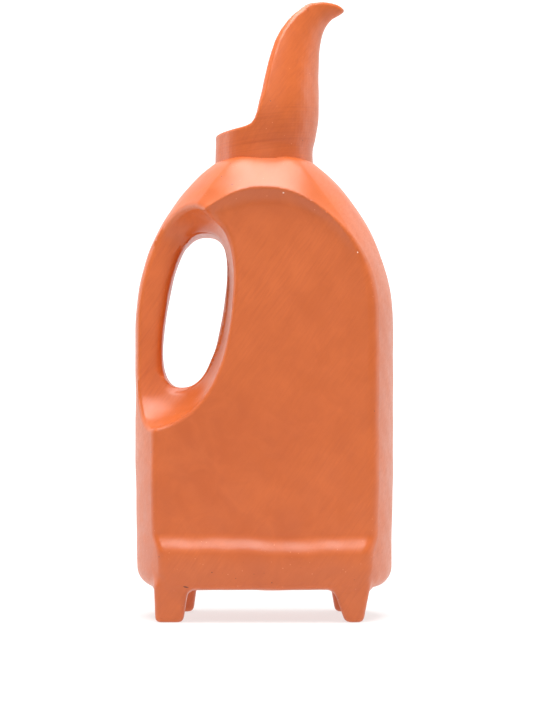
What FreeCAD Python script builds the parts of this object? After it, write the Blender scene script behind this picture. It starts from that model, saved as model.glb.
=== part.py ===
"""Ceramic pitcher: a slab-built terracotta jug with a finger hole and a tall pouring lip.

Frame: millimetres, +Z up, +X towards the pouring side; the two flat faces look along -Y and +Y.
The origin is on the table under the middle of the body.  Arched outlines in planes across the
depth are lofted into an outer solid and a cavity, and the shell between them is divided along
flat seams into the slabs that such a pitcher is luted together from.
"""
import FreeCAD, Part
import math
import os
import Sketcher
from FreeCAD import Placement, Rotation, Vector

# Arched outlines: distance from mid depth, half width, shoulder radius, half width of the crown,
# crown radius, height of the underside, radius of the lower corners.
OUTLINES = {
    "middle": (0.0, 77.5, 122.3, 30.0, 600.0, 18.0, 13.0),
    "bow": (14.0, 76.0, 122.8, 30.0, 400.0, 18.0, 13.0),
    "dome": (30.0, 71.6, 126.9, 30.0, 226.0, 18.0, 13.0),
    "face": (48.0, 65.0, 96.0, 36.0, 65.0, 22.0, 13.0),
    "cavity_middle": (0.0, 71.5, 116.3, 30.0, 600.0, 25.0, 7.0),
    "cavity_dome": (24.0, 67.4, 119.5, 30.0, 226.0, 25.0, 7.0),
    "cavity_face": (38.5, 62.4, 101.0, 30.0, 90.0, 25.0, 7.0),
    "panel": (44.5, 68.0, 69.5, 36.0, 65.0, 48.0, 3.0),
    "panel_rim": (48.5, 66.0, 90.5, 36.0, 65.0, 40.0, 3.0),
}
COLUMNS = ("depth", "half_width", "shoulder", "crown_width", "crown", "foot", "corner")

SIZES = {
    "spring_height": 175.0,      # where the straight sides turn into the shoulder
    "wall": 6.0,                 # thickness of the body's walls
    "slab_seam": 38.5,           # inner side of the front and rear slabs, from mid depth
    "hole_x": -41.0,             # middle of the finger hole
    "hole_z": 183.0,
    "hole_half_width": 16.9,
    "hole_half_height": 44.9,
    "hole_lean": 0.169,          # sideways lean per unit of height
    "grip_half_depth": 13.5,     # handle at its middle, from mid depth
    "well_left": -125.0,         # scooped well on a flat face; open past the handle
    "well_right": -19.5,
    "well_bottom": 112.0,
    "well_top": 244.0,
    "well_lean": 0.13,
    "handle_foot": 104.0,        # lower and upper seams of the handle
    "handle_head": 236.0,
    "handle_core": 124.0,        # the handle is solid above this height
    "neck_radius": 29.5,
    "mouth_radius": 24.5,
    "neck_seat": 269.0,          # where the collar sits on the shoulder
    "rim_height": 293.6,         # rim plane on the mouth's axis
    "rim_slope": 4.12,           # degrees that the rim plane rises towards the spout
    "spout_wall": 4.6,
    "spout_overlap": 8.4,        # how far the spout's sides reach past the mouth's middle
    "foot_block": 34.0,          # height of a foot before the body is cut out of it
    "foot_edge": 3.5,            # rounding of a foot's sides and sole
    # Feet: the four sides at the table, then how far each spreads over the block's height.
    "left_outer": 62.0, "left_inner": 47.5, "left_outer_spread": 3.0, "left_inner_spread": 13.0,
    "right_outer": 56.5, "right_inner": 44.5, "right_outer_spread": 8.0,
    "right_inner_spread": 14.0,
    "foot_far": 42.5, "foot_near": 29.5, "foot_far_spread": 4.0, "foot_near_spread": 10.0,
}

# The pouring lip in side view: its rim and its back, from the collar to the tip.
SPOUT_RIM = ((-8.4, 293.0), (2.3, 335.0), (13.0, 358.0), (34.7, 368.9), (47.0, 366.0))
SPOUT_BACK = ((29.4, 295.7), (32.8, 308.0), (33.4, 343.0), (40.6, 359.2), (47.8, 362.0))

doc = FreeCAD.newDocument("CeramicPitcher")


def make_sheet():
    """One sheet with an alias for each driving dimension."""
    rows = dict(SIZES)
    for outline, numbers in OUTLINES.items():
        for column, number in zip(COLUMNS, numbers):
            rows[f"{outline}_{column}"] = number
    made = doc.addObject("Spreadsheet::Sheet", "Sizes")
    for row, (alias, number) in enumerate(rows.items(), start=1):
        made.set(f"A{row}", alias.replace("_", " "))
        made.set(f"B{row}", str(number))
        made.setAlias(f"B{row}", alias)
    doc.recompute()
    return made


sheet = make_sheet()


def size(alias):
    """Number in one cell of the sheet."""
    return float(sheet.get(alias))


# ---------------------------------------------------------------- small helpers
def box(name, x_range, y_range, z_range):
    """Part::Box; each range is a pair of expressions."""
    made = doc.addObject("Part::Box", name)
    for prop, axis, (low, high) in zip(("Length", "Width", "Height"), "xyz",
                                       (x_range, y_range, z_range)):
        made.setExpression(f"Placement.Base.{axis}", low)
        made.setExpression(prop, f"({high}) - ({low})")
    return made


def cylinder(name, radius, bottom, top):
    """Upright Part::Cylinder on the mouth's axis; all three are expressions."""
    made = doc.addObject("Part::Cylinder", name)
    made.setExpression("Radius", radius)
    made.setExpression("Height", f"({top}) - ({bottom})")
    made.setExpression("Placement.Base.z", bottom)
    return made


def boolean(kind, name, base, tool):
    """Part::Cut or Part::Common of two objects."""
    made = doc.addObject(f"Part::{kind}", name)
    made.Base = base
    made.Tool = tool
    return made


def loft(name, sections, ruled=True):
    """Closed solid through its sections, straight between them when ruled."""
    made = doc.addObject("Part::Loft", name)
    made.Sections = sections
    made.Solid = True
    made.Ruled = ruled
    return made


def wire_object(name, edges):
    """Freeform section that no primitive gives."""
    made = doc.addObject("Part::Feature", name)
    made.Shape = Part.Wire(edges)
    return made


def spline(points, closed=False):
    """Smooth curve through points."""
    curve = Part.BSplineCurve()
    curve.interpolate([Vector(*point) for point in points], PeriodicFlag=closed)
    return curve


# ---------------------------------------------------------------- arched outlines
def arch(name, outline, sign):
    """Sketch of one outline on the front (-1) or rear (+1) side of mid depth.

    Flat bottom with rounded corners, straight sides, a shoulder arc on each side that starts
    upright at the spring height, and a crown arc between the shoulders' upper ends.
    """
    half, big, tip, cap, low, small = (size(f"{outline}_{column}") for column in COLUMNS[1:])
    spring = size("spring_height")
    reach = math.acos((tip - half + big) / big)
    cap_turn = math.asin(tip / cap)
    cap_z = spring + big * math.sin(reach) - cap * math.cos(cap_turn)
    quarter = math.pi / 2

    sketch = doc.addObject("Sketcher::SketchObject", name)
    sketch.Placement = Placement(Vector(0, 0, 0), Rotation(Vector(1, 0, 0), 90))
    sketch.setExpression("Placement.Base.y", f"{sign} * Sizes.{outline}_depth")

    def line(x1, z1, x2, z2):
        return sketch.addGeometry(Part.LineSegment(Vector(x1, z1, 0), Vector(x2, z2, 0)), False)

    def arc(x, z, radius, start, end):
        circle = Part.Circle(Vector(x, z, 0), Vector(0, 0, 1), radius)
        return sketch.addGeometry(Part.ArcOfCircle(circle, start, end), False)

    bottom = line(small - half, low, half - small, low)
    right_corner = arc(half - small, low + small, small, -quarter, 0)
    right_side = line(half, low + small, half, spring)
    right_shoulder = arc(half - big, spring, big, 0, reach)
    crown = arc(0, cap_z, cap, quarter - cap_turn, quarter + cap_turn)
    left_shoulder = arc(big - half, spring, big, math.pi - reach, math.pi)
    left_side = line(-half, spring, -half, low + small)
    left_corner = arc(small - half, low + small, small, math.pi, math.pi + quarter)

    ring = (bottom, right_corner, right_side, right_shoulder, crown, left_shoulder, left_side,
            left_corner)
    for first, second in zip(ring, ring[1:] + ring[:1]):
        kind = "Coincident" if crown in (first, second) else "Tangent"
        sketch.addConstraint(Sketcher.Constraint(kind, first, 2, second, 1))
    for side in (right_side, left_side):
        sketch.addConstraint(Sketcher.Constraint("Vertical", side))
    for ends in (bottom, crown):
        sketch.addConstraint(Sketcher.Constraint("Symmetric", ends, 1, ends, 2, -2))
    sketch.addConstraint(Sketcher.Constraint("Equal", right_corner, left_corner))
    sketch.addConstraint(Sketcher.Constraint("Equal", right_shoulder, left_shoulder))

    def drive(alias, *constraint):
        index = sketch.addConstraint(Sketcher.Constraint(*constraint))
        sketch.setExpression(f"Constraints[{index}]", f"Sizes.{alias}")

    drive("spring_height", "DistanceY", -1, 1, right_side, 2, spring)
    drive(f"{outline}_half_width", "DistanceX", -1, 1, right_side, 2, half)
    drive(f"{outline}_shoulder", "Radius", right_shoulder, big)
    drive(f"{outline}_crown_width", "DistanceX", -1, 1, crown, 1, tip)
    drive(f"{outline}_crown", "Radius", crown, cap)
    drive(f"{outline}_foot", "DistanceY", -1, 1, bottom, 2, low)
    drive(f"{outline}_corner", "Radius", right_corner, small)
    return sketch


def arched_solid(name, outlines):
    """Ruled loft from the front face through mid depth to the rear face."""
    front = [arch(f"{name}Front{index}", outline, -1) for index, outline in enumerate(outlines)]
    rear = [arch(f"{name}Rear{index}", outline, 1) for index, outline in enumerate(outlines[:-1])]
    return loft(name, front + rear[::-1])


# ---------------------------------------------------------------- finger hole and well
def egg(name, depth, left, right, low, high, lean):
    """Leaning superellipse in the plane Y = depth: straight flanks and well rounded ends."""
    power = 2 / 2.6
    steps = 24
    points = []
    for step in range(steps):
        turn = 2 * math.pi * step / steps
        across = math.copysign(abs(math.sin(turn)) ** power, math.sin(turn))
        lift = math.copysign(abs(math.cos(turn)) ** power, math.cos(turn)) * (high - low) / 2
        x = (left + right) / 2 + across * (right - left) / 2 + lean * lift
        points.append((x, depth, (low + high) / 2 + lift))
    return wire_object(name, [spline(points, closed=True).toShape()])


def well_side(name, sign, grow):
    """Scoop on one side, from the handle's side out to the wide egg on the flat face.

    It leaves the handle steeply and flattens outwards, like a quarter ellipse.  Its handle end
    is open.  grow widens it by a wall's thickness.
    """
    near = size("grip_half_depth") - grow
    far = size("face_depth") - grow / 2
    hole_right = size("hole_x") + size("hole_half_width")
    hole_low = size("hole_z") - size("hole_half_height") + 6
    hole_high = size("hole_z") + size("hole_half_height") - 8
    sections = []
    for index, part in enumerate((0.0, 0.12, 0.42, 1.0, 1.3)):
        spread = math.sqrt(1 - (1 - min(part, 1)) ** 2)
        right = hole_right + (size("well_right") - hole_right) * spread
        low = hole_low + (size("well_bottom") - hole_low) * spread
        high = hole_high + (size("well_top") - hole_high) * spread
        sections.append(egg(f"{name}{index}", sign * (near + (far - near) * part),
                            size("well_left") - grow, right + grow, low - grow, high + grow,
                            size("well_lean")))
    return loft(name, sections)


def well_solid(name, grow):
    """Finger hole right through, with the scoops on both sides."""
    half_width = size("hole_half_width") + grow
    half_height = size("hole_half_height") + grow
    reach = size("grip_half_depth") + 1
    hole = [
        egg(f"{name}Hole{index}", depth, size("hole_x") - half_width, size("hole_x") + half_width,
            size("hole_z") - half_height, size("hole_z") + half_height, size("hole_lean"))
        for index, depth in enumerate((-reach, reach))
    ]
    made = doc.addObject("Part::MultiFuse", name)
    made.Shapes = [loft(f"{name}Through", hole), well_side(f"{name}Front", -1, grow),
                   well_side(f"{name}Rear", 1, grow)]
    return made


def grip_region(name, low, high):
    """Handle side of the leaning plane down the middle of the finger hole, between two heights."""
    lean = Rotation(Vector(0, 1, 0), math.degrees(math.atan(size("hole_lean"))))
    block = doc.addObject("Part::Box", f"{name}Block")
    block.Length = 100
    block.Width = 160
    block.Height = 240
    middle = Vector(size("hole_x"), 0, size("hole_z"))
    block.Placement = Placement(middle + lean.multVec(Vector(-100, -80, -120)), lean)
    band = box(f"{name}Band", ("-120", "0"), ("-80", "80"), (low, high))
    return boolean("Common", name, block, band)


# ---------------------------------------------------------------- the shell and its slabs
def make_shell(outer, cavity, keep_out):
    """Body walls: outer solid less panels and well, hollowed clear of the well and the grip."""
    cut = outer
    for name, sign in (("FrontPanel", -1), ("RearPanel", 1)):
        panel = loft(name, [arch(f"{name}Floor", "panel", sign),
                            arch(f"{name}Rim", "panel_rim", sign)])
        cut = boolean("Cut", f"{name}Cut", cut, panel)
    cut = boolean("Cut", "ScoopedSolid", cut, well_solid("Well", 0))
    hollow = boolean("Cut", "CavityBesideWell", cavity, keep_out)
    core = grip_region("GripCore", "Sizes.handle_core", "Sizes.handle_head")
    hollow = boolean("Cut", "CavityBesideGrip", hollow, core)
    walls = boolean("Cut", "Walls", cut, hollow)
    throat = cylinder("Throat", "Sizes.mouth_radius", "Sizes.neck_seat - 25", "300")
    seat = cylinder("CollarSeat", "Sizes.neck_radius", "Sizes.neck_seat", "300")
    return boolean("Cut", "Shell", boolean("Cut", "OpenWalls", walls, throat), seat)


def make_slabs(shell, keep_out):
    """Divide the shell along its flat seams; returns node name and object of each piece."""
    seam = "Sizes.slab_seam"
    floor = "Sizes.cavity_middle_foot"
    wide = ("-100", "100")
    within = (f"-{seam}", seam)

    pieces = {}
    front = box("FrontRegion", wide, ("-100", f"-{seam}"), ("0", "300"))
    rear = box("RearRegion", wide, (seam, "100"), ("0", "300"))
    base = box("BaseRegion", wide, within, ("0", floor))
    pieces["front_slab"] = boolean("Common", "FrontSlab", shell, front)
    pieces["rear_slab"] = boolean("Common", "RearSlab", shell, rear)
    pieces["base_slab"] = boolean("Common", "BaseSlab", shell, base)

    upper = boolean("Common", "UpperShell", shell,
                    box("UpperRegion", wide, within, (floor, "300")))
    grip = grip_region("Grip", "Sizes.handle_foot", "Sizes.handle_head")
    beside_grip = boolean("Cut", "BesideGrip", upper, grip)
    plain = boolean("Cut", "PlainShell", beside_grip, keep_out)
    right = box("RightRegion", ("0", "100"), within, (floor, "Sizes.spring_height"))
    left = box("LeftRegion", ("-100", "0"), within, (floor, "Sizes.handle_foot"))
    top = box("TopRegion", wide, within, ("Sizes.spring_height", "300"))
    pieces["handle"] = boolean("Common", "Handle", upper, grip)
    pieces["grip_well_wall"] = boolean("Common", "GripWellWall", beside_grip, keep_out)
    pieces["right_side_wall"] = boolean("Common", "RightSideWall", plain, right)
    pieces["left_side_wall"] = boolean("Common", "LeftSideWall", plain, left)
    pieces["shoulder"] = boolean("Common", "Shoulder", plain, top)
    return pieces


# ---------------------------------------------------------------- collar and pouring lip
def make_collar():
    """Short round neck, cut off by the sloping rim plane."""
    outer = cylinder("NeckOuter", "Sizes.neck_radius", "Sizes.neck_seat", "310")
    bore = cylinder("NeckBore", "Sizes.mouth_radius", "Sizes.neck_seat - 5", "320")
    tube = boolean("Cut", "NeckTube", outer, bore)
    above = doc.addObject("Part::Box", "AboveRim")
    above.Length = above.Width = 120
    above.Height = 60
    tilt = Rotation(Vector(0, 1, 0), -size("rim_slope"))
    above.Placement = Placement(
        Vector(0, 0, size("rim_height")) + tilt.multVec(Vector(-60, -60, 0)), tilt)
    return boolean("Cut", "NeckCollar", tube, above)


def half_ellipse(centre, towards, length, half_width, turn):
    """Curve from one side of the lip round its back to the other side."""
    points = []
    for step in range(-6, 7):
        angle = turn * step / 6
        place = centre + towards * (length * math.cos(angle))
        points.append((place.x, half_width * math.sin(angle), place.z))
    return spline(points)


def spout_section(index, part, rim, back):
    """Crescent of clay in the plane through the rim and the back at one part of the length."""
    edge = rim.value(rim.FirstParameter + part * (rim.LastParameter - rim.FirstParameter))
    spine = back.value(back.FirstParameter + part * (back.LastParameter - back.FirstParameter))
    towards = spine - edge
    reach = towards.Length
    towards.normalize()
    overlap = size("spout_overlap") * max(0.0, 1 - part / 0.4)
    length = reach - overlap
    half_width = size("neck_radius") * (1 - part ** 1.5) + 3.2 * part
    if part == 0:
        length = half_width = size("neck_radius")
    wall = min(size("neck_radius") - size("mouth_radius"), size("spout_wall") + 0.4 * (part == 0))
    wall = min(wall, 0.6 * length)
    side_wall = min(wall, 0.6 * half_width)
    centre = spine - towards * length
    turn = math.pi / 2 + math.asin(overlap / length)
    outside = half_ellipse(centre, towards, length, half_width, turn)
    inside = half_ellipse(centre, towards, length - wall, half_width - side_wall, turn)
    edges = [outside.toShape()]
    edges.append(Part.makeLine(outside.EndPoint, inside.EndPoint))
    edges.append(inside.toShape())
    edges.append(Part.makeLine(inside.StartPoint, outside.StartPoint))
    return wire_object(f"SpoutSection{index}", edges)


def make_spout():
    """Open gutter that rises from the collar's far side and curls over to a narrow tip."""
    rim = spline([(x, 0, z) for x, z in SPOUT_RIM])
    back = spline([(x, 0, z) for x, z in SPOUT_BACK])
    parts = (0.0, 0.13, 0.27, 0.42, 0.57, 0.72, 0.87, 1.0)
    sections = [spout_section(index, part, rim, back) for index, part in enumerate(parts)]
    return loft("PouringSpout", sections, ruled=False)


# ---------------------------------------------------------------- feet
def make_foot(name, side, x_sign, y_sign, outer):
    """Stubby tapered foot with rounded edges, its head cut to the body's underside.

    The wedge is turned so that its own Y axis points up and its own Z axis points to -Y.
    """
    wedge = doc.addObject("Part::Wedge", f"{name}Wedge")
    wedge.Placement = Placement(Vector(0, 0, 0), Rotation(Vector(1, 0, 0), 90))
    for axis, sign, inner, outermost in (("X", x_sign, f"{side}_inner", f"{side}_outer"),
                                         ("Z", -y_sign, "foot_near", "foot_far")):
        near = f"{sign} * Sizes.{inner}"
        far = f"{sign} * Sizes.{outermost}"
        near_top = f"{sign} * (Sizes.{inner} - Sizes.{inner}_spread)"
        far_top = f"{sign} * (Sizes.{outermost} + Sizes.{outermost}_spread)"
        if sign < 0:
            near, far, near_top, far_top = far, near, far_top, near_top
        wedge.setExpression(f"{axis}min", near)
        wedge.setExpression(f"{axis}max", far)
        wedge.setExpression(f"{axis}2min", near_top)
        wedge.setExpression(f"{axis}2max", far_top)
    wedge.Ymin = 0
    wedge.setExpression("Ymax", "Sizes.foot_block")
    doc.recompute()
    radius = size("foot_edge")
    rounded = doc.addObject("Part::Fillet", f"{name}Rounded")
    rounded.Base = wedge
    rounded.Edges = [
        (number, radius, radius) for number, edge in enumerate(wedge.Shape.Edges, start=1)
        if edge.BoundBox.ZMin < 0.01
    ]
    return boolean("Cut", name, rounded, outer)


# ---------------------------------------------------------------- assembly and files
def make_pieces():
    """All the pieces, by node name."""
    outer = arched_solid("OuterSolid", ("face", "dome", "bow", "middle"))
    cavity = arched_solid("CavitySolid", ("cavity_face", "cavity_dome", "cavity_middle"))
    keep_out = well_solid("WellWall", size("wall"))
    shell = make_shell(outer, cavity, keep_out)
    pieces = make_slabs(shell, keep_out)
    pieces["neck_collar"] = make_collar()
    pieces["pouring_spout"] = make_spout()
    pieces["front_left_foot"] = make_foot("FrontLeftFoot", "left", -1, -1, outer)
    pieces["front_right_foot"] = make_foot("FrontRightFoot", "right", 1, -1, outer)
    pieces["rear_left_foot"] = make_foot("RearLeftFoot", "left", -1, 1, outer)
    pieces["rear_right_foot"] = make_foot("RearRightFoot", "right", 1, 1, outer)
    for node, piece in pieces.items():
        piece.Label = node
    return pieces


def check(pieces):
    """Stop unless every object computed and every piece is one valid solid."""
    for made in doc.Objects:
        if "Invalid" in made.State or "Error" in made.State:
            raise RuntimeError(f"{made.Name} failed: {made.State}")
    for node, piece in pieces.items():
        shape = piece.Shape
        if shape.isNull() or not shape.isValid():
            raise RuntimeError(f"{node} has no valid shape")
        print(f"{node:18s} solids {len(shape.Solids)}  volume {shape.Volume / 1000:8.2f} cm3")


def write(pieces):
    """One STEP file for each piece."""
    os.makedirs("parts", exist_ok=True)
    for node, piece in pieces.items():
        piece.Shape.exportStep(f"parts/{node}.step")


pieces = make_pieces()
doc.recompute()
check(pieces)
write(pieces)
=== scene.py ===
import math

import bmesh
import bpy
import numpy as np
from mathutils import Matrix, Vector
from mathutils.bvhtree import BVHTree


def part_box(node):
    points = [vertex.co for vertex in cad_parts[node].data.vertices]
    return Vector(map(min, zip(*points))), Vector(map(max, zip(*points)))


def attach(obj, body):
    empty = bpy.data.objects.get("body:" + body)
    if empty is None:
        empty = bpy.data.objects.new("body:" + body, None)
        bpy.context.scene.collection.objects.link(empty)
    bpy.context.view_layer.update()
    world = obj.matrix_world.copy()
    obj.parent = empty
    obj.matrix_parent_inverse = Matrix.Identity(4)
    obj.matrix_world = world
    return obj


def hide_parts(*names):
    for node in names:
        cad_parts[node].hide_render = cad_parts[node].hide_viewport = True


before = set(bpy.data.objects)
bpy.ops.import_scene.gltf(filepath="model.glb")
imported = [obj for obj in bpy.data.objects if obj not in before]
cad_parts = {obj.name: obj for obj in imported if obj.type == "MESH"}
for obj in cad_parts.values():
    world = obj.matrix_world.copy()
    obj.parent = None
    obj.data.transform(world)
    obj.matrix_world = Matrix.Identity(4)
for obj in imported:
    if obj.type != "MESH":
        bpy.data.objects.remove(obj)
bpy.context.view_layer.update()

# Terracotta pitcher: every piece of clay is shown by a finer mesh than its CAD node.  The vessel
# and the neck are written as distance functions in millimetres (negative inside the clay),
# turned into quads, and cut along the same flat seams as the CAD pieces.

MM = 0.001
CELL = 1.3       # size of the quads, in millimetres

bpy.context.scene.unit_settings.system = "METRIC"


def node_box(node):
    """Lowest and highest corner of a CAD node, in millimetres."""
    low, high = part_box(node)
    return np.array(low) / MM, np.array(high) / MM


COLLAR_LOW, COLLAR_HIGH = node_box("neck_collar")
_, SIDE_HIGH = node_box("right_side_wall")

HALF_WIDTH = float(SIDE_HIGH[0])        # body at mid depth
SPRING = float(SIDE_HIGH[2])            # where the straight sides turn into the shoulder
SHOULDER_R = 122.3
UNDERSIDE = 18.0                        # height of the base's underside
CROWN = 275.7                           # top of the shoulder at mid depth
PANEL = 44.5                            # flat faces, from mid depth
SEAM = 37.0                             # front and rear slabs meet the sides here
NECK_R = float(COLLAR_HIGH[0])
NECK_WALL = 5.0
MOUTH_R = NECK_R - NECK_WALL
WALL = 6.0                              # sides and shoulder
FACE_WALL = 5.5                         # flat faces
FLOOR_TOP = 25.0                        # inside of the base slab
THROAT_LOW = 245.0                      # the neck's bore reaches down to here
GRIP_DEPTH = 13.5                       # half the handle's depth
HOLE = dict(x=-41.8, z=183.2, half_width=17.1, half_height=45.7, lean=0.155)
WELL = dict(left=-125.0, right=-19.5, low=111.5, high=245.0, depth=32.0, lean=0.13)
GRIP_FOOT, GRIP_HEAD = 104.0, 236.0     # seams at the handle's ends
GRIP_CORE = 124.0                       # the handle is solid from here up to its head
SOLE_SEAM = 17.6                        # feet meet the base slab
SPLIT_X = -4.0                          # between the grip and the right-hand side
RIM_HEIGHT, RIM_SLOPE = 293.6, 0.072    # seam between the collar and the pouring lip


# ---------------------------------------------------------------- distance-function helpers
def smoothstep(low, high, value):
    """0 below low, 1 above high and a smooth ramp between; low may be above high."""
    share = np.clip((value - low) / (high - low), 0, 1)
    return share * share * (3 - 2 * share)


def mix(a, b, share):
    """a where share is 0, b where it is 1."""
    return a + (b - a) * share


def round_and(a, b, radius):
    """Intersection of two solids whose common edge is rounded."""
    rounded = np.hypot(np.maximum(a + radius, 0), np.maximum(b + radius, 0))
    return np.minimum(np.maximum(a, b), -radius) + rounded


def round_or(a, b, radius):
    """Union of two solids with a fillet between them."""
    return -round_and(-a, -b, radius)


def bevel_and(a, b, width):
    """Intersection of two solids whose common edge is bevelled."""
    return round_and(round_and(a, b, 0.4), (a + b + width) * math.sqrt(0.5), 0.7)


def box_2d(u, v, half_u, half_v, radius):
    """Distance to a rounded rectangle about the origin."""
    du = np.abs(u) - half_u + radius
    dv = np.abs(v) - half_v + radius
    return np.hypot(np.maximum(du, 0), np.maximum(dv, 0)) + np.minimum(np.maximum(du, dv), 0) - radius


# ---------------------------------------------------------------- the vessel
def depth_inset(y_abs, z):
    """How far the outline has drawn in at a distance from mid depth.

    The sides bow gently; the shoulder draws in further towards the lip.
    """
    share = y_abs / PANEL
    side = 12.5 * share ** 1.5 + 1.8 * smoothstep(52, 28, z) * share ** 3
    return mix(side, 19.4 * (y_abs / 47) ** 2, smoothstep(210, 262, z))


def crown_inset(y_abs):
    """How far the crown has fallen: nearly level as far as the collar, then steep."""
    past = y_abs - 30
    return 0.54 * (past + np.sqrt(past * past + 36))


def arch(x, y_abs, z):
    """Side and shoulder outline of the body at a depth."""
    x_abs = np.abs(x)
    shoulder = np.hypot(x_abs + SHOULDER_R - HALF_WIDTH, z - SPRING) - SHOULDER_R
    side = x_abs - HALF_WIDTH + 0.9 * smoothstep(90, 30, z)
    outline = np.where(z > SPRING, shoulder, side) + depth_inset(y_abs, z)
    forward = smoothstep(26, 46, y_abs)
    crown_r = 1 / mix(1 / 260, 1 / 65, forward)
    top = CROWN - 1.14 * crown_inset(y_abs)
    crown = (z - top + x * x / (2 * crown_r)) / np.hypot(1, x / crown_r)
    return round_and(outline, crown, mix(2.5, 9.0, forward))


def face_depth(x, z):
    """Distance from mid depth to the flat face: recessed panel, lip above it, roll below it."""
    from_edge = arch(x, np.full_like(x, 47.0), z)
    lip = 3.9 * np.clip((from_edge + 12.0) / 11.0, 0, 1) ** 2 * smoothstep(196, 236, z)
    wave = 0.8 * np.sin(x * 0.045 + 0.6) + 0.4 * np.sin(x * 0.11)
    roll = 4.9 * smoothstep(51.5, 39.5, z + wave)
    roll -= 3.6 * np.clip((38 - z) / 18, 0, 1.2) ** 2
    return PANEL + lip + roll


def foot(x, y, z, right):
    """One foot's distance: a rounded peg that tapers down to a small rounded sole."""
    rise = np.clip(z, 0, 20) / 18
    tuck = np.clip(z - 22, 0, 20) * 0.4
    back_in = np.where(y > 0, 3.4, 0.0)
    if right:
        outer, inner = 57.8 + 3.4 * rise - tuck, 47.2 - 6.4 * rise - back_in * (1 - 0.9 * rise)
        across = x
    else:
        outer, inner = 63.6 + 0.6 * rise - tuck, 47.4 - 2.7 * rise - back_in
        across = -x
    far, near = 42.8 + 2.4 * rise - tuck, 29.3 - 4.0 * rise
    section = box_2d(across - (outer + inner) / 2, np.abs(y) - (far + near) / 2,
                     (outer - inner) / 2, (far - near) / 2, 4.5)
    return round_and(round_and(section, -z, 2.6), z - 34, 1.0)


def egg(x, z, middle_x, middle_z, half_width, half_height, lean):
    """Leaning superellipse: its level value minus one, and the size of its slope."""
    power = 2.6
    up = (z - middle_z) / half_height
    across = (x - middle_x - lean * (z - middle_z)) / half_width
    a, b = np.abs(across) + 1e-6, np.abs(up) + 1e-6
    level = (a ** power + b ** power) ** (1 / power)
    lean_in = level ** (1 - power)
    slope_x = lean_in * a ** (power - 1) * np.sign(across) / half_width
    slope_z = lean_in * b ** (power - 1) * np.sign(up) / half_height - lean * slope_x
    return level - 1, np.hypot(slope_x, slope_z)


def hole(x, z):
    """Finger hole, right through."""
    level, slope = egg(x, z, HOLE["x"], HOLE["z"], HOLE["half_width"], HOLE["half_height"],
                       HOLE["lean"])
    return level / slope


def well_level(x, y_abs, z):
    """Scoop at a depth: it starts as wide as the hole and opens like a quarter ellipse."""
    part = np.clip((y_abs - GRIP_DEPTH) / WELL["depth"], 0, 1)
    spread = np.sqrt(1 - (1 - part) ** 2 + 1e-4)
    left = WELL["left"]
    right = mix(HOLE["x"] + HOLE["half_width"], WELL["right"], spread)
    low = mix(HOLE["z"] - HOLE["half_height"] + 6, WELL["low"], spread)
    high = mix(HOLE["z"] + HOLE["half_height"] - 8, WELL["high"], spread)
    return egg(x, z, (left + right) / 2, (low + high) / 2, (right - left) / 2, (high - low) / 2,
               WELL["lean"])


def well(x, y_abs, z):
    """Scoop round the finger hole on both faces, open past the handle."""
    level, slope = well_level(x, y_abs, z)
    step = 0.5
    deeper, _ = well_level(x, y_abs + step, z)
    depth_slope = np.clip((deeper - level) / step, -0.05, 0.05)
    return round_and(level / np.hypot(slope, depth_slope), GRIP_DEPTH - y_abs, 2.0)


def grip_plane(x, z):
    """Positive on the handle's side of the leaning plane through the hole."""
    return HOLE["x"] + HOLE["lean"] * (z - HOLE["z"]) - x


def hand_waviness(x, y, z):
    """Low swells that a hand leaves in soft clay."""
    return (0.16 * np.sin(x * 0.083 + z * 0.041 + 0.7) * np.sin(z * 0.067 + y * 0.05)
            + 0.12 * np.sin(x * 0.15 - z * 0.11 + y * 0.09 + 2.1)
            + 0.07 * np.sin(x * 0.29 + z * 0.23 + y * 0.2))


def vessel(p):
    """Body and feet, hollow, with the neck's opening: distance at each row of p."""
    x, y, z = p[:, 0], p[:, 1], p[:, 2]
    y_abs = np.abs(y)
    outline = arch(x, y_abs, z)
    underside = UNDERSIDE + 1.5 * smoothstep(30, 46, y_abs) - z
    solid = round_and(outline, underside, 12.0)
    side_edge = mix(3.2, 5.5, smoothstep(-20, 20, x))
    edge = mix(side_edge, 1.9, smoothstep(205, 238, z))
    edge = mix(edge, 3.0, smoothstep(34, 24, z))
    solid = round_and(solid, y_abs - face_depth(x, z), edge)

    finger_hole = hole(x, z)
    scoop = well(x, y_abs, z)
    around = round_and(-finger_hole, -scoop, 5.5)
    solid = round_and(solid, around, mix(2.4, 4.2, smoothstep(170, 225, z)))
    solid = solid + hand_waviness(x, y, z)

    for right in (True, False):
        solid = np.where((x > 0) == right, round_or(solid, foot(x, y, z, right), 4.0), solid)
    solid = np.maximum(solid, -z)

    inside = round_and(outline + WALL, y_abs - PANEL + FACE_WALL, 4.0)
    inside = round_and(inside, FLOOR_TOP - z, 5.0)
    inside = round_and(inside, WALL - np.minimum(finger_hole, scoop), 3.0)
    core = np.minimum(grip_plane(x, z), np.minimum(z - GRIP_CORE, GRIP_HEAD - z))
    inside = np.maximum(inside, core)
    radius = np.hypot(x, y)
    throat = np.maximum(radius - MOUTH_R, THROAT_LOW - z)
    seat = np.maximum(radius - NECK_R + 1.2, COLLAR_LOW[2] - 1 - z)
    return round_and(solid, -np.minimum(inside, np.minimum(throat, seat)), 0.9)


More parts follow.
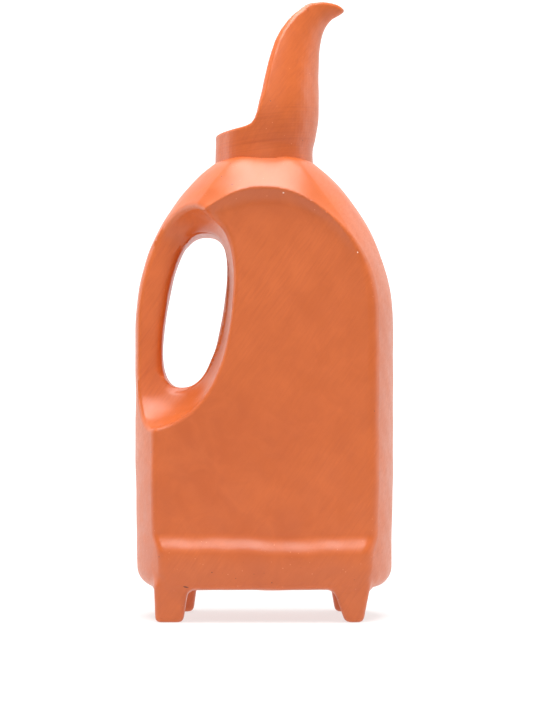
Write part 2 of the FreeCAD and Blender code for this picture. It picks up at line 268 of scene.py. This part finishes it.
# ---------------------------------------------------------------- neck and pouring lip
# Horn sections: back point x and z, tilt in degrees, half size towards the back, half width.
HORN = np.array([
    (29.4, 258.0, 0.0, 29.4, 29.4),
    (29.4, 270.0, 0.0, 29.4, 29.4),
    (29.2, 280.0, 0.0, 29.3, 29.3),
    (31.0, 288.0, 0.0, 30.2, 30.4),
    (32.7, 300.0, 0.5, 31.8, 31.5),
    (32.8, 312.0, 3.0, 32.0, 30.2),
    (32.7, 328.0, 9.0, 31.0, 26.0),
    (33.6, 343.5, 25.0, 26.6, 19.8),
    (36.4, 353.6, 48.0, 18.6, 13.2),
    (40.8, 359.4, 65.0, 10.8, 8.4),
    (46.2, 361.6, 76.0, 6.4, 4.8),
    (50.0, 363.4, 82.0, 3.0, 2.6),
])
# Side view of the rim: collar's left rim, the turn up into the lip, over the top to the tip.
RIM = np.array([
    (-60.0, 289.0), (-27.7, 289.0), (-22.0, 289.7), (-14.0, 290.9), (-10.2, 291.8), (-7.8, 293.0),
    (-5.9, 295.4), (-4.4, 299.5), (-2.9, 306.4), (-1.4, 312.3), (-0.3, 318.2), (1.0, 324.0),
    (2.4, 330.2), (4.25, 336.6), (6.3, 343.0), (9.5, 349.6), (14.2, 356.4), (17.5, 360.4),
    (21.1, 363.2), (24.7, 365.8), (27.6, 367.1), (34.6, 368.4), (40.0, 368.2), (43.6, 367.5),
    (46.2, 366.4), (48.1, 364.9), (48.5, 363.6), (47.8, 362.2), (46.0, 360.0), (60.0, 340.0),
    (60.0, 250.0), (-60.0, 250.0),
])
RIM_BEVEL = 2.6


def catmull_rom(keys, count):
    """Smooth curve through rows of keys, count points per span."""
    padded = np.vstack([2 * keys[0] - keys[1], keys, 2 * keys[-1] - keys[-2]])
    rows = []
    for index in range(len(keys) - 1):
        a, b, c, d = padded[index:index + 4]
        for t in np.arange(count) / count:
            rows.append(0.5 * (2 * b + (c - a) * t + (2 * a - 5 * b + 4 * c - d) * t ** 2
                               + (3 * b - a - 3 * c + d) * t ** 3))
    rows.append(keys[-1])
    return np.array(rows)


def horn_tree():
    """Search tree over the outer surface of the uncut neck and horn."""
    around = 72
    turn = np.linspace(0, 2 * math.pi, around, endpoint=False)
    verts, faces = [], []
    rows = catmull_rom(HORN, 6)
    for back_x, back_z, tilt, reach, half_width in rows:
        tilt = math.radians(tilt)
        share = reach * (np.cos(turn) - 1)
        verts.append(np.column_stack([back_x + share * math.cos(tilt), half_width * np.sin(turn),
                                      back_z - share * math.sin(tilt)]))
    for row in range(len(rows) - 1):
        for step in range(around):
            after = (step + 1) % around
            start = row * around
            faces.append((start + step, start + after, start + around + after, start + around + step))
    points = np.vstack(verts)
    return BVHTree.FromPolygons(points.tolist(), faces)


def polygon_distance(x, z, corners):
    """Signed distance in side view to a closed polygon, negative inside."""
    best = np.full(x.shape, 1e9)
    inside = np.zeros(x.shape, bool)
    for (x1, z1), (x2, z2) in zip(corners, np.roll(corners, -1, axis=0)):
        dx, dz = x2 - x1, z2 - z1
        along = np.clip(((x - x1) * dx + (z - z1) * dz) / (dx * dx + dz * dz), 0, 1)
        best = np.minimum(best, np.hypot(x - x1 - along * dx, z - z1 - along * dz))
        crossing = (z1 > z) != (z2 > z)
        side = (x2 - x1) * (z - z1) / (z2 - z1 if z2 != z1 else 1e-9) + x1
        inside ^= crossing & (x < side)
    return np.where(inside, -best, best)


HORN_TREE = horn_tree()


def horn_distance(p):
    """Signed distance to the uncut horn's outer surface, one search per point."""
    found = np.full(len(p), 30.0)
    for index, point in enumerate(p.tolist()):
        place, normal, _, gap = HORN_TREE.find_nearest(point, 14.0)
        if place is not None:
            side = (Vector(point) - place).dot(normal)
            found[index] = math.copysign(gap, side)
        else:
            found[index] = -30.0
    return found


def neck(p):
    """Collar and pouring lip: the horn's wall, cut along the rim, with a bevelled edge."""
    x, y, z = p[:, 0], p[:, 1], p[:, 2]
    rim = polygon_distance(x, z, RIM)
    outside = np.full(len(p), 9.0)
    near = rim < 3
    outside[near] = horn_distance(p[near])
    outside += 0.6 * hand_waviness(x * 1.6, y * 1.6, z * 1.6)
    wall = mix(NECK_WALL, 4.2, smoothstep(290, 340, z)) - 1.6 * smoothstep(345, 366, z)
    bevel = mix(0.9, RIM_BEVEL, smoothstep(292, 316, z)) * mix(1.0, 0.35, smoothstep(360, 369, z))
    outer = bevel_and(outside, rim, bevel)
    inner = round_and(-outside - wall, rim, 1.2)
    return np.maximum(np.maximum(outer, inner), COLLAR_LOW[2] - 2 - z)


# ---------------------------------------------------------------- distance function to quads
def surface_nets(values, low, cell):
    """Quads of the zero surface of values on a regular grid: one vertex per crossed cell."""
    inside = values < 0
    shape = np.array(values.shape) - 1
    total = np.zeros((*shape, 3))
    count = np.zeros(tuple(shape))
    crossings = []
    for axis in range(3):
        others = [a for a in range(3) if a != axis]
        first = [slice(None)] * 3
        second = [slice(None)] * 3
        first[axis] = slice(None, -1)
        second[axis] = slice(1, None)
        start, end = values[tuple(first)], values[tuple(second)]
        crossed = inside[tuple(first)] != inside[tuple(second)]
        place = np.argwhere(crossed)
        share = start[crossed] / (start[crossed] - end[crossed])
        point = place.astype(float)
        point[:, axis] += share
        crossings.append((axis, others, place, inside[tuple(first)][crossed]))
        for back_u in (0, 1):
            for back_v in (0, 1):
                cells = place.copy()
                cells[:, others[0]] -= back_u
                cells[:, others[1]] -= back_v
                good = np.all((cells >= 0) & (cells < shape), axis=1)
                index = tuple(cells[good].T)
                np.add.at(total, index, point[good])
                np.add.at(count, index, 1)
    used = count > 0
    number = np.full(tuple(shape), -1)
    number[used] = np.arange(used.sum())
    verts = total[used] / count[used][:, None] * cell + low
    quads = []
    for axis, (u, v), place, start_inside in crossings:
        good = np.all((place[:, [u, v]] > 0) & (place[:, [u, v]] < shape[[u, v]]), axis=1)
        place, start_inside = place[good], start_inside[good]
        ring = []
        for back_u, back_v in ((0, 0), (1, 0), (1, 1), (0, 1)):
            cells = place.copy()
            cells[:, u] -= back_u
            cells[:, v] -= back_v
            ring.append(number[tuple(cells.T)])
        ring = np.column_stack(ring)
        flip = start_inside if axis != 1 else ~start_inside
        ring[~flip] = ring[~flip][:, ::-1]
        quads.append(ring)
    return verts, np.vstack(quads)


def slopes(function, p, step=0.05):
    """Gradient of a distance function at points."""
    slope = np.empty_like(p)
    for axis in range(3):
        shift = np.zeros(3)
        shift[axis] = step
        slope[:, axis] = function(p + shift) - function(p - shift)
    return slope / (2 * step)


def settle(function, verts, rounds=2):
    """Move points along the slope onto the zero surface."""
    for _ in range(rounds):
        slope = slopes(function, verts)
        size = np.maximum((slope ** 2).sum(1), 0.05)
        move = function(verts) / size
        verts = verts - slope * np.clip(move, -CELL, CELL)[:, None]
    return verts


def relax(verts, quads, share):
    """Even out the quads by moving each vertex towards the middle of its neighbours."""
    total = np.zeros_like(verts)
    count = np.zeros(len(verts))
    for a, b in ((0, 1), (1, 2), (2, 3), (3, 0)):
        for start, end in ((a, b), (b, a)):
            np.add.at(total, quads[:, start], verts[quads[:, end]])
            np.add.at(count, quads[:, start], 1)
    middle = total / np.maximum(count, 1)[:, None]
    return mix(verts, middle, share)


def polygonise(function, low, high, cell):
    """Closed quad mesh of a distance function inside a box."""
    axes = [np.arange(start, end + cell, cell) for start, end in zip(low, high)]
    grid = np.stack(np.meshgrid(*axes, indexing="ij"), -1).reshape(-1, 3)
    values = np.concatenate([function(part) for part in np.array_split(grid, 24)])
    values = values.reshape([len(axis) for axis in axes])
    verts, quads = surface_nets(values, np.array(low), cell)
    verts = settle(function, verts)
    verts = relax(verts, quads, 0.6)
    verts = settle(function, verts)
    return verts, quads


# ---------------------------------------------------------------- cutting along the seams
def new_bmesh(verts, quads):
    """Editable mesh with a face layer that marks the caps made by the cuts."""
    mesh = bpy.data.meshes.new("whole")
    mesh.from_pydata(verts.tolist(), [], quads.tolist())
    bm = bmesh.new()
    bm.from_mesh(mesh)
    bpy.data.meshes.remove(mesh)
    bm.faces.layers.int.new("cap")
    return bm


def clip(bm, point, normal, only=None):
    """Keep what lies behind a plane and close the cut; only limits it to some of the faces."""
    faces = [face for face in bm.faces if only is None or only(face.calc_center_median())]
    geometry = set(faces)
    for face in faces:
        geometry.update(face.edges)
        geometry.update(face.verts)
    bmesh.ops.bisect_plane(bm, geom=list(geometry), dist=1e-5, plane_co=point, plane_no=normal,
                           clear_outer=True)
    rim = [edge for edge in bm.edges if edge.is_boundary]
    cap = bm.faces.layers.int["cap"]
    made = bmesh.ops.triangle_fill(bm, use_beauty=True, use_dissolve=False, edges=rim,
                                   normal=Vector(normal))
    for item in made["geom"]:
        if isinstance(item, bmesh.types.BMFace):
            item[cap] = 1
            item.normal_update()
            if item.normal.dot(Vector(normal)) < 0:
                item.normal_flip()


def kept(bm, *planes):
    """Copy cut by several planes in turn."""
    result = bm.copy()
    for point, normal in planes:
        clip(result, point, normal)
    return result


def keep_islands(bm, test):
    """Drop every connected part whose mean position fails the test."""
    seen = set()
    doomed = []
    for start in bm.verts:
        if start.index in seen:
            continue
        island, stack = [], [start]
        seen.add(start.index)
        while stack:
            vert = stack.pop()
            island.append(vert)
            for edge in vert.link_edges:
                other = edge.other_vert(vert)
                if other.index not in seen:
                    seen.add(other.index)
                    stack.append(other)
        middle = sum((vert.co for vert in island), Vector()) / len(island)
        if not test(middle):
            doomed.extend(island)
    bmesh.ops.delete(bm, geom=doomed, context="VERTS")
    return bm


def close_up(bm):
    """Drop slivers left by the cuts, fill pinholes and wind the new faces like their neighbours."""
    bmesh.ops.remove_doubles(bm, verts=bm.verts, dist=0.003)
    bmesh.ops.dissolve_degenerate(bm, edges=bm.edges, dist=0.003)
    tangled = [edge for edge in bm.edges if len(edge.link_faces) > 1 and not edge.is_contiguous]
    around = {face for edge in tangled for face in edge.link_faces}
    bmesh.ops.delete(bm, geom=list(around), context="FACES_ONLY")
    stray = [face for face in bm.faces if all(edge.is_boundary for edge in face.edges)]
    bmesh.ops.delete(bm, geom=stray, context="FACES")
    bmesh.ops.delete(bm, geom=[edge for edge in bm.edges if edge.is_wire], context="EDGES")
    gaps = [edge for edge in bm.edges if edge.is_boundary]
    for face in bmesh.ops.holes_fill(bm, edges=gaps, sides=0)["faces"]:
        against = [edge for edge in face.edges if not edge.is_contiguous]
        if 2 * len(against) > len(face.edges):
            face.normal_flip()


def make_piece(bm, node, function):
    """Object for one CAD node, shaded with the distance function's own normals."""
    close_up(bm)
    mesh = bpy.data.meshes.new(node)
    bm.to_mesh(mesh)
    bm.free()
    places = np.empty(len(mesh.vertices) * 3)
    mesh.vertices.foreach_get("co", places)
    places = places.reshape(-1, 3)
    normals = slopes(function, places)
    normals /= np.maximum(np.linalg.norm(normals, axis=1), 1e-6)[:, None]
    corner_vert = np.empty(len(mesh.loops), int)
    mesh.loops.foreach_get("vertex_index", corner_vert)
    sizes = np.empty(len(mesh.polygons), int)
    mesh.polygons.foreach_get("loop_total", sizes)
    face_normals = np.empty(len(mesh.polygons) * 3)
    mesh.polygons.foreach_get("normal", face_normals)
    caps = np.zeros(len(mesh.polygons), int)
    mesh.attributes["cap"].data.foreach_get("value", caps)
    corner_face = np.repeat(np.arange(len(sizes)), sizes)
    flat = face_normals.reshape(-1, 3)[corner_face]
    corners = normals[corner_vert]
    off = (caps[corner_face] == 1) | ((corners * flat).sum(1) < 0.6)
    corners = np.where(off[:, None], flat, corners)
    mesh.vertices.foreach_set("co", (places * MM).ravel())
    mesh.update()
    mesh.polygons.foreach_set("use_smooth", np.ones(len(sizes), bool))
    mesh.normals_split_custom_set(corners.tolist())
    mesh.attributes.remove(mesh.attributes["cap"])
    made = bpy.data.objects.new(f"clay_{node}", mesh)
    bpy.context.scene.collection.objects.link(made)
    mesh.materials.append(CLAY)
    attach(made, "root")
    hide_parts(node)


# ---------------------------------------------------------------- clay
CLAY = bpy.data.materials.new("terracotta")


def srgb(red, green, blue):
    """Linear colour from 0 to 255 screen values."""
    def linear(value):
        share = value / 255
        return share / 12.92 if share < 0.04045 else ((share + 0.055) / 1.055) ** 2.4
    return (linear(red), linear(green), linear(blue), 1.0)


class Nodes:
    """Short calls for adding and linking shader nodes."""

    def __init__(self, material):
        material.use_nodes = True
        self.tree = material.node_tree
        self.tree.nodes.clear()

    def add(self, kind, **settings):
        """New node of a kind, with its settings."""
        node = self.tree.nodes.new(kind)
        for name, value in settings.items():
            setattr(node, name, value)
        return node

    def link(self, source, target):
        self.tree.links.new(source, target)

    def noise(self, where, scale, detail=3.0, roughness=0.5, distortion=0.0):
        """Smooth noise, about 0.5 on average."""
        node = self.add("ShaderNodeTexNoise")
        node.inputs["Scale"].default_value = scale
        node.inputs["Detail"].default_value = detail
        node.inputs["Roughness"].default_value = roughness
        node.inputs["Distortion"].default_value = distortion
        self.link(where, node.inputs["Vector"])
        return node.outputs["Fac"]

    def stretch(self, where, sizes, lean=0.0, centre=(0, 0, 0)):
        """Coordinates about a centre, leaning in the XZ plane and divided by sizes in metres."""
        node = self.add("ShaderNodeMapping", vector_type="TEXTURE")
        node.inputs["Location"].default_value = centre
        node.inputs["Rotation"].default_value = (0, lean, 0)
        node.inputs["Scale"].default_value = sizes
        self.link(where, node.inputs["Vector"])
        return node.outputs["Vector"]

    def mark(self, where, centre, half, lean):
        """1 inside a small leaning ellipsoid given in millimetres, fading at its edge."""
        around = self.stretch(where, tuple(size * MM for size in half), math.radians(lean),
                              tuple(value * MM for value in centre))
        length = self.add("ShaderNodeVectorMath", operation="LENGTH")
        self.link(around, length.inputs[0])
        return self.ramp(length.outputs["Value"], (0.6, 1.0), (1.0, 0.0))

    def times(self, first, second):
        """Product of two values."""
        node = self.add("ShaderNodeMath", operation="MULTIPLY")
        self.link(first, node.inputs[0])
        self.link(second, node.inputs[1])
        return node.outputs[0]

    def ramp(self, value, *stops):
        """Value mapped through (place, colour or level) stops."""
        node = self.add("ShaderNodeValToRGB")
        elements = node.color_ramp.elements
        while len(elements) < len(stops):
            elements.new(0.5)
        for element, (place, colour) in zip(elements, stops):
            element.position = place
            element.color = colour if isinstance(colour, tuple) else (colour, colour, colour, 1)
        self.link(value, node.inputs["Fac"])
        return node.outputs["Color"]

    def blend(self, share, first, second):
        """Colours mixed by a share, each input a socket or a plain colour."""
        node = self.add("ShaderNodeMix", data_type="RGBA")
        for index, value in ((0, share), (6, first), (7, second)):
            socket = node.inputs[index]
            if isinstance(value, bpy.types.NodeSocket):
                self.link(value, socket)
            else:
                socket.default_value = value
        return node.outputs[2]

    def dots(self, where, scale, radius):
        """1 inside small scattered spots, 0 elsewhere; only some cells hold one."""
        cells = self.add("ShaderNodeTexVoronoi", feature="F1")
        cells.inputs["Scale"].default_value = scale
        self.link(where, cells.inputs["Vector"])
        spot = self.ramp(cells.outputs["Distance"], (radius, 1.0), (radius * 1.8, 0.0))
        chosen = self.ramp(cells.outputs["Color"], (0.64, 0.0), (0.70, 1.0))
        return self.times(spot, chosen)

    def sum(self, *parts):
        """Weighted sum of (socket, weight) pairs."""
        total = None
        for socket, weight in parts:
            node = self.add("ShaderNodeMath", operation="MULTIPLY_ADD")
            self.link(socket, node.inputs[0])
            node.inputs[1].default_value = weight
            if total is None:
                node.inputs[2].default_value = 0.0
            else:
                self.link(total, node.inputs[2])
            total = node.outputs[0]
        return total


# Small flaws: place and half sizes in millimetres, lean in degrees, and the colour left behind.
FLAWS = (
    ((26.0, -7.0, 362.5), (0.35, 9.0, 2.3), 0, (96, 40, 24)),           # hairline by the lip's tip
    ((-45.5, -46.0, 21.0), (1.9, 6.0, 0.45), 12, (88, 36, 22)),         # crack above a front foot
    ((-18.7, -46.0, 254.8), (1.1, 8.0, 0.4), 10, (150, 66, 40)),        # nick in the shoulder
    ((11.1, -46.0, 249.6), (0.6, 8.0, 0.45), 0, (250, 222, 205)),       # chips on the lip's edge
    ((54.2, -46.0, 215.2), (0.45, 8.0, 0.5), 0, (250, 222, 205)),
)


def finish_clay():
    """Burnished, unglazed terracotta: even orange, a soft sheen, rubbing marks, grit and pits."""
    nodes = Nodes(CLAY)
    place = nodes.add("ShaderNodeTexCoord").outputs["Object"]
    broad = nodes.noise(place, 11, 3, 0.5, 0.6)
    patches = nodes.noise(place, 55, 5, 0.6, 0.8)
    up_right = math.radians(35)
    rubbed = nodes.noise(nodes.stretch(place, (0.0013, 0.004, 0.017), up_right), 1.0, 4, 0.6, 0.4)
    turned = math.radians(-7)
    wiped = nodes.noise(nodes.stretch(place, (0.05, 0.05, 0.0011), turned), 1.0, 4, 0.6, 0.3)
    grain = nodes.noise(place, 1900, 3, 0.6)
    grit = nodes.dots(place, 330, 0.075)
    pits = nodes.dots(place, 170, 0.04)
    high = nodes.add("ShaderNodeSeparateXYZ")
    nodes.link(place, high.inputs[0])
    on_neck = nodes.ramp(high.outputs["Z"], (0.268, 0.2), (0.276, 1.0), (0.300, 0.9), (0.325, 0.1))
    wiped = nodes.times(wiped, on_neck)

    base = nodes.ramp(broad, (0.30, srgb(194, 90, 37)), (0.50, srgb(203, 98, 42)),
                      (0.72, srgb(211, 104, 46)))
    base = nodes.blend(nodes.ramp(patches, (0.40, 0.0), (0.75, 0.50)), base, srgb(218, 108, 48))
    strokes = nodes.times(nodes.ramp(rubbed, (0.42, 0.0), (0.75, 0.42)),
                          nodes.ramp(broad, (0.38, 0.2), (0.6, 1.0)))
    base = nodes.blend(strokes, base, srgb(184, 81, 34))
    base = nodes.blend(nodes.ramp(wiped, (0.38, 0.0), (0.70, 0.55)), base, srgb(184, 80, 34))
    base = nodes.blend(grit, base, srgb(222, 130, 84))
    base = nodes.blend(pits, base, srgb(130, 56, 28))
    for at, half, lean, colour in FLAWS:
        base = nodes.blend(nodes.mark(place, at, half, lean), base, srgb(*colour))
    shader = nodes.add("ShaderNodeBsdfPrincipled")
    nodes.link(base, shader.inputs["Base Color"])
    rough = nodes.ramp(nodes.sum((patches, 0.6), (rubbed, 0.4)), (0.35, 0.30), (0.65, 0.44))
    nodes.link(rough, shader.inputs["Roughness"])
    shader.inputs["Specular IOR Level"].default_value = 0.55

    height = nodes.sum((grain, 0.06), (rubbed, 0.12), (wiped, 0.25), (patches, 0.35), (pits, -0.5))
    bump = nodes.add("ShaderNodeBump")
    bump.inputs["Strength"].default_value = 0.7
    bump.inputs["Distance"].default_value = 0.0006
    nodes.link(height, bump.inputs["Height"])
    nodes.link(bump.outputs["Normal"], shader.inputs["Normal"])
    out = nodes.add("ShaderNodeOutputMaterial")
    nodes.link(shader.outputs[0], out.inputs["Surface"])


# ---------------------------------------------------------------- studio
def aim(thing, place, target):
    """Put a camera or lamp at a place, looking at a target; both in millimetres."""
    place, target = Vector(place) * MM, Vector(target) * MM
    thing.location = place
    thing.rotation_euler = (target - place).to_track_quat("-Z", "Y").to_euler()


def make_camera():
    """Level camera in front of the flat face."""
    data = bpy.data.cameras.new("camera")
    data.lens = 105.1
    data.sensor_width = 36
    data.shift_y = 0.105
    data.clip_start = 0.05
    data.clip_end = 20
    camera = bpy.data.objects.new("camera", data)
    bpy.context.scene.collection.objects.link(camera)
    aim(camera, (1.3, -1250, 112), (1.3, 0, 112))
    bpy.context.scene.camera = camera


def lamp(name, place, target, size, power):
    """Rectangular soft light."""
    data = bpy.data.lights.new(name, "AREA")
    data.shape = "RECTANGLE"
    data.size, data.size_y = size[0] * MM, size[1] * MM
    data.energy = power
    made = bpy.data.objects.new(name, data)
    bpy.context.scene.collection.objects.link(made)
    aim(made, place, target)


def make_studio():
    """Even white surroundings, four soft lights and the sweep."""
    world = bpy.data.worlds.new("studio")
    world.use_nodes = True
    sky = world.node_tree.nodes["Background"]
    sky.inputs["Color"].default_value = (1, 1, 1, 1)
    sky.inputs["Strength"].default_value = 0.42
    bpy.context.scene.world = world
    lamp("overhead", (0, -330, 1300), (0, -330, 200), (900, 1150), 24)
    lamp("left", (-1300, 260, 450), (0, 0, 180), (450, 1200), 4.8)
    lamp("right", (1300, 260, 450), (0, 0, 180), (450, 1200), 3.0)
    lamp("fill", (0, -1800, 900), (0, 0, 180), (1600, 1200), 3)
    make_sweep()


def make_paper():
    """Matt white paper lit from below: even round the object, dim in front, bright at the back."""
    material = bpy.data.materials.new("paper")
    nodes = Nodes(material)
    place = nodes.add("ShaderNodeSeparateXYZ")
    nodes.link(nodes.add("ShaderNodeTexCoord").outputs["Object"], place.inputs[0])
    metres = nodes.add("ShaderNodeMath", operation="MULTIPLY_ADD")
    nodes.link(place.outputs["Y"], metres.inputs[0])
    metres.inputs[1].default_value = 0.4
    metres.inputs[2].default_value = 0.4
    glow = nodes.ramp(metres.outputs[0], (0.06, 0.10), (0.21, 0.64), (0.46, 0.66), (0.96, 1.0))
    shader = nodes.add("ShaderNodeBsdfPrincipled")
    shader.inputs["Base Color"].default_value = (0.34, 0.34, 0.34, 1)
    shader.inputs["Roughness"].default_value = 0.9
    shader.inputs["Specular IOR Level"].default_value = 0.1
    shader.inputs["Emission Color"].default_value = (1, 1, 1, 1)
    nodes.link(glow, shader.inputs["Emission Strength"])
    out = nodes.add("ShaderNodeOutputMaterial")
    nodes.link(shader.outputs[0], out.inputs["Surface"])
    return material


def make_sweep():
    """Pale floor that curves up into a glowing backdrop."""
    half, flat, curve = 6000, 1500, 1500
    profile = [(-6000, 0), (flat, 0)]
    for step in range(1, 13):
        turn = step / 12 * math.pi / 2
        profile.append((flat + curve * math.sin(turn), curve - curve * math.cos(turn)))
    profile.append((flat + curve, 7000))
    verts = [(side * half * MM, y * MM, z * MM) for y, z in profile for side in (-1, 1)]
    faces = [(2 * i, 2 * i + 1, 2 * i + 3, 2 * i + 2) for i in range(len(profile) - 1)]
    mesh = bpy.data.meshes.new("sweep")
    mesh.from_pydata(verts, [], faces)
    mesh.materials.append(make_paper())
    mesh.polygons.foreach_set("use_smooth", [True] * len(faces))
    sweep = bpy.data.objects.new("sweep", mesh)
    bpy.context.scene.collection.objects.link(sweep)


# ---------------------------------------------------------------- pieces
def make_vessel_pieces():
    """Body and feet as one mesh, cut along the seams."""
    verts, quads = polygonise(vessel, (-82, -52, -3), (82, 52, 277), CELL)
    whole = new_bmesh(verts, quads)
    up, down = (0, 0, 1), (0, 0, -1)
    make_feet(kept(whole, ((0, 0, SOLE_SEAM), up)))
    body = kept(whole, ((0, 0, SOLE_SEAM), down))
    whole.free()
    make_piece(kept(body, ((0, -SEAM, 0), (0, 1, 0))), "front_slab", vessel)
    make_piece(kept(body, ((0, SEAM, 0), (0, -1, 0))), "rear_slab", vessel)
    middle = kept(body, ((0, -SEAM, 0), (0, -1, 0)), ((0, SEAM, 0), (0, 1, 0)))
    body.free()
    make_piece(kept(middle, ((0, 0, FLOOR_TOP), up)), "base_slab", vessel)
    above = kept(middle, ((0, 0, FLOOR_TOP), down))
    middle.free()
    split = (SPLIT_X, 0, 0)
    lower = kept(above, ((0, 0, SPRING), up))
    make_piece(kept(lower, (split, (-1, 0, 0))), "right_side_wall", vessel)
    make_piece(kept(lower, (split, (1, 0, 0)), ((0, 0, GRIP_FOOT), up)), "left_side_wall", vessel)
    lower.free()
    grip = kept(above, (split, (1, 0, 0)), ((0, 0, GRIP_FOOT), down), ((0, 0, GRIP_HEAD), up))
    lean = Vector((1, 0, -HOLE["lean"])).normalized()
    through = (HOLE["x"], 0, HOLE["z"])
    make_piece(kept(grip, (through, tuple(lean))), "handle", vessel)
    make_piece(kept(grip, (through, tuple(-lean))), "grip_well_wall", vessel)
    grip.free()
    make_shoulder(above)
    above.free()


def make_feet(feet):
    """The four feet, each one island of the mesh below the base."""
    for side, x_sign in (("left", -1), ("right", 1)):
        for end, y_sign in (("front", -1), ("rear", 1)):
            one = keep_islands(feet.copy(), lambda at: at.x * x_sign > 0 and at.y * y_sign > 0)
            make_piece(one, f"{end}_{side}_foot", vessel)
    feet.free()


def make_shoulder(above):
    """Shoulder: everything above the spring line, but only above the grip's head at the left."""
    top = kept(above, ((0, 0, SPRING), (0, 0, -1)))
    everything = list(top.verts) + list(top.edges) + list(top.faces)
    bmesh.ops.bisect_plane(top, geom=everything, dist=1e-5, plane_co=(SPLIT_X, 0, 0),
                           plane_no=(1, 0, 0))
    clip(top, (0, 0, GRIP_HEAD), (0, 0, -1), only=lambda place: place.x < SPLIT_X)
    make_piece(top, "shoulder", vessel)


def make_neck_pieces():
    """Collar and pouring lip, cut apart along the rim's plane."""
    cell = 0.85
    verts, quads = polygonise(neck, (-34, -35, COLLAR_LOW[2] - 4), (53, 35, 374), cell)
    whole = new_bmesh(verts, quads)
    over = Vector((-RIM_SLOPE, 0, 1)).normalized()
    at = (0, 0, RIM_HEIGHT)
    make_piece(kept(whole, (at, tuple(over))), "neck_collar", neck)
    make_piece(kept(whole, (at, tuple(-over))), "pouring_spout", neck)
    whole.free()


bpy.context.scene.view_settings.view_transform = "Standard"
finish_clay()
make_vessel_pieces()
make_neck_pieces()
make_camera()
make_studio()
